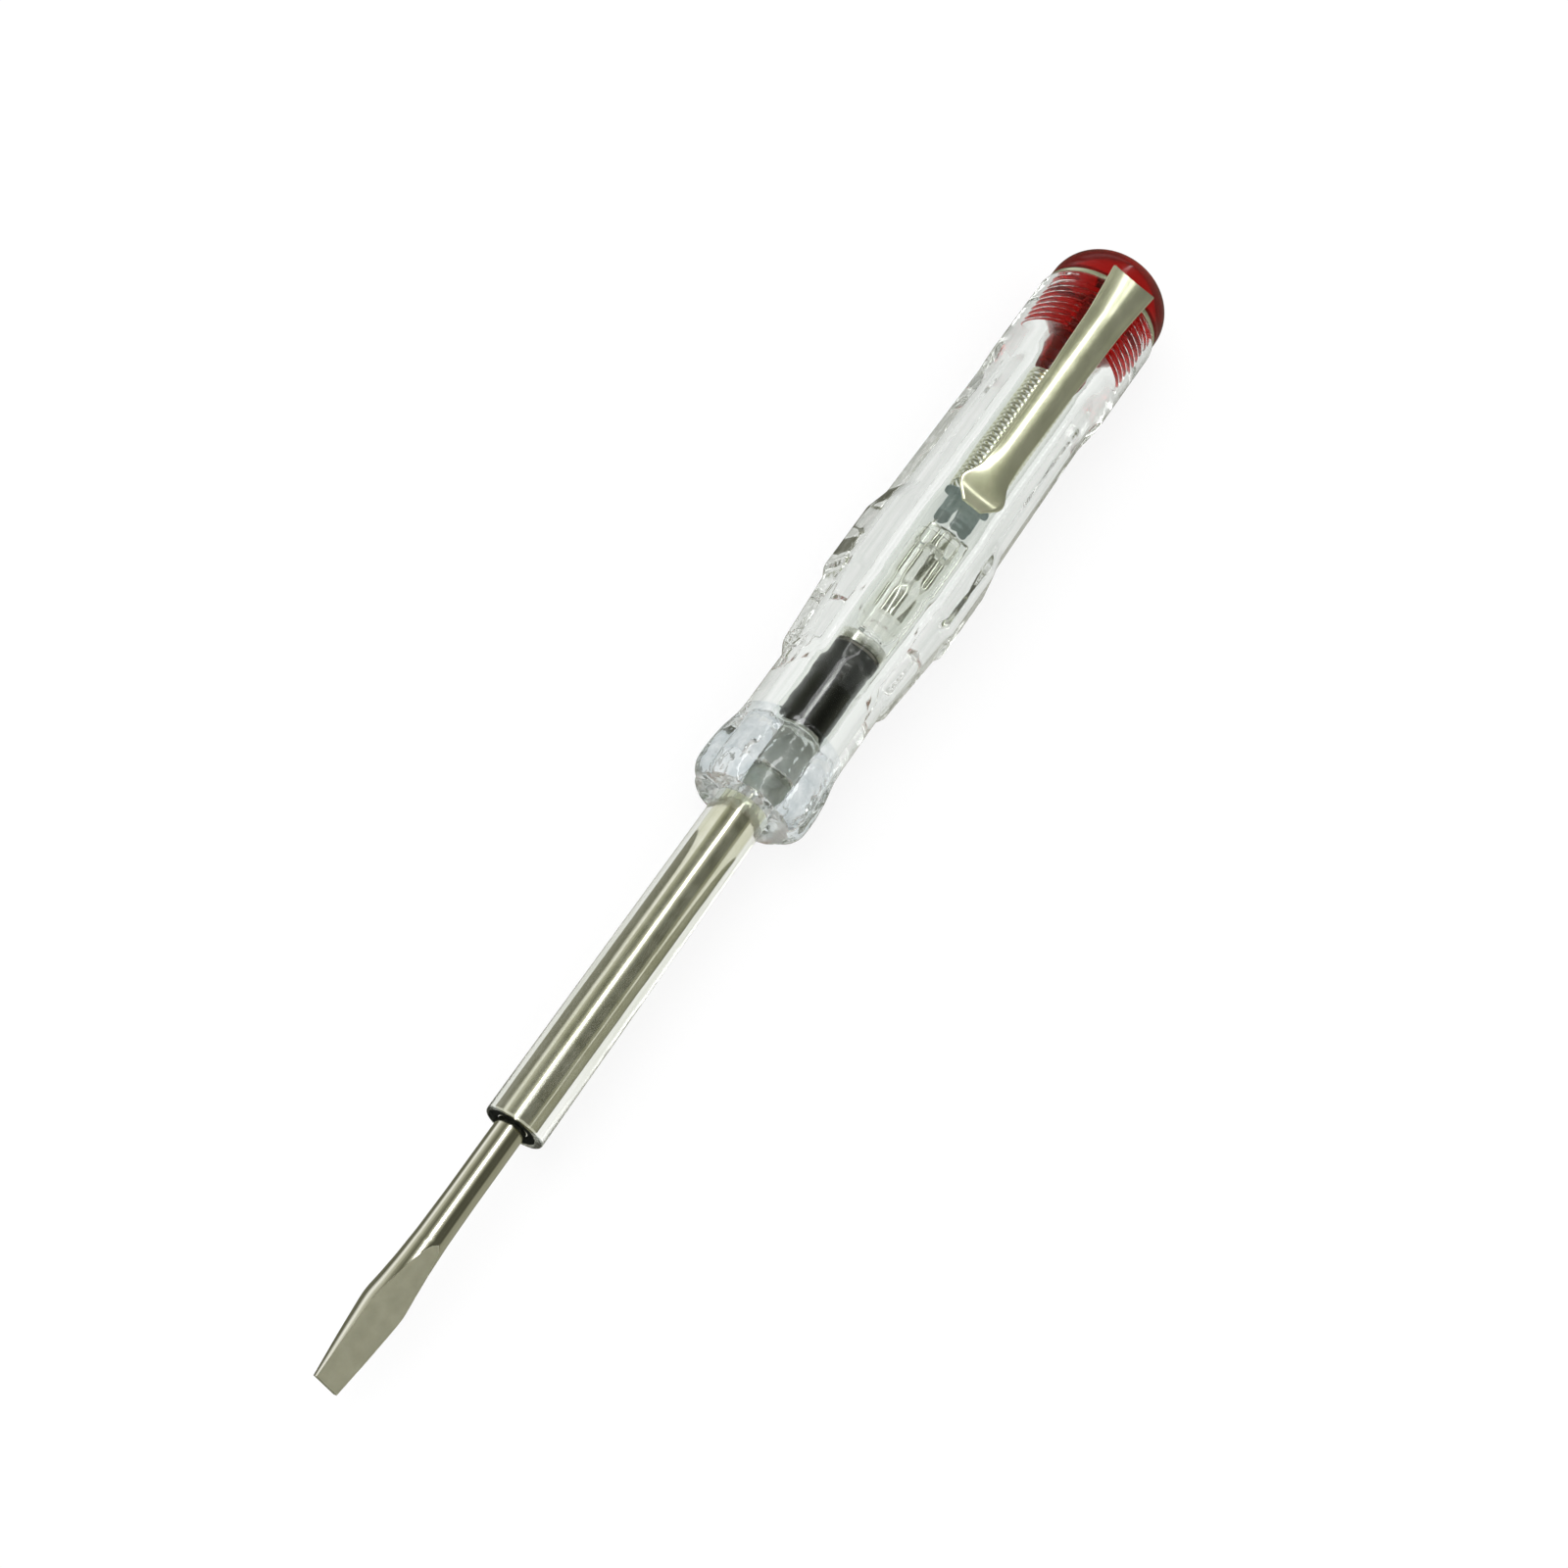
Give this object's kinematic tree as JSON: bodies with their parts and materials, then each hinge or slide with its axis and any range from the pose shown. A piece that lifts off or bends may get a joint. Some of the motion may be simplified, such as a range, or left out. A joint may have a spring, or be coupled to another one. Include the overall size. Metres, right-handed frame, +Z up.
{
  "type": "voltage tester screwdriver",
  "caption": "Slim flat-blade voltage tester screwdriver with a sleeved blade, a clear faceted handle holding a resistor, neon lamp and spring, a red screw cap and a pocket clip.",
  "frame": {"origin": "below the middle of the tool, on the surface that it lies on", "axes": "+X along the tool from the blade's tip to the cap, +Z up to the side of the pocket clip"},
  "size_m": [0.1418, 0.0148, 0.0159],
  "materials": {
    "nickel_plate": "satin nickel plate, slightly warm",
    "clear_vinyl": "clear soft tube",
    "clear_handle": "clear polished moulding",
    "tinned_steel": "tinned",
    "ceramic": "unglazed ceramic",
    "black_lacquer": "black lacquer coat",
    "lamp_glass": "clear lamp glass",
    "carbon_rubber": "matt dark conductive plug",
    "red_cap": "translucent red moulding",
    "brass": "plain strip"
  },
  "bodies": {
    "handle_body": {"blade": "nickel_plate", "insulating_sleeve": "clear_vinyl", "handle": "clear_handle", "resistor_front_ferrule": "tinned_steel", "resistor_rear_ferrule": "tinned_steel", "resistor_core": "ceramic", "resistor_coat": "black_lacquer", "lamp_envelope": "lamp_glass", "lamp_seal": "lamp_glass", "lamp_electrode_left": "tinned_steel", "lamp_electrode_right": "tinned_steel", "lamp_lead_front": "tinned_steel", "lamp_lead_rear": "tinned_steel", "contact_slug": "carbon_rubber", "spring": "nickel_plate"},
    "washer_body": {"clip_ring": "nickel_plate"},
    "cap_body": {"cap": "red_cap", "contact_strip": "brass"},
    "clip_body": {"clip_arm": "nickel_plate"}
  },
  "joints": [
    {"name": "cap_advance", "type": "slide", "parent": "handle_body", "child": "washer_body", "axis": [1, 0, 0], "range_m": [0, 0.0048], "deforming": ["spring"]},
    {"name": "cap_turn", "type": "hinge", "parent": "washer_body", "child": "cap_body", "pos_m": [0.0645, 0, 0.00695], "axis": [1, 0, 0], "range_deg": [0, 2160]},
    {"name": "clip_flex", "type": "hinge", "parent": "washer_body", "child": "clip_body", "pos_m": [0.0643, 0, 0.01485], "axis": [0, 1, 0], "range_deg": [0, 6], "stiffness_Nm_per_rad": 0.3}
  ],
  "couplings": [
    {"joint": "cap_turn", "follows": "cap_advance", "rad_per_m": 7854}
  ]
}
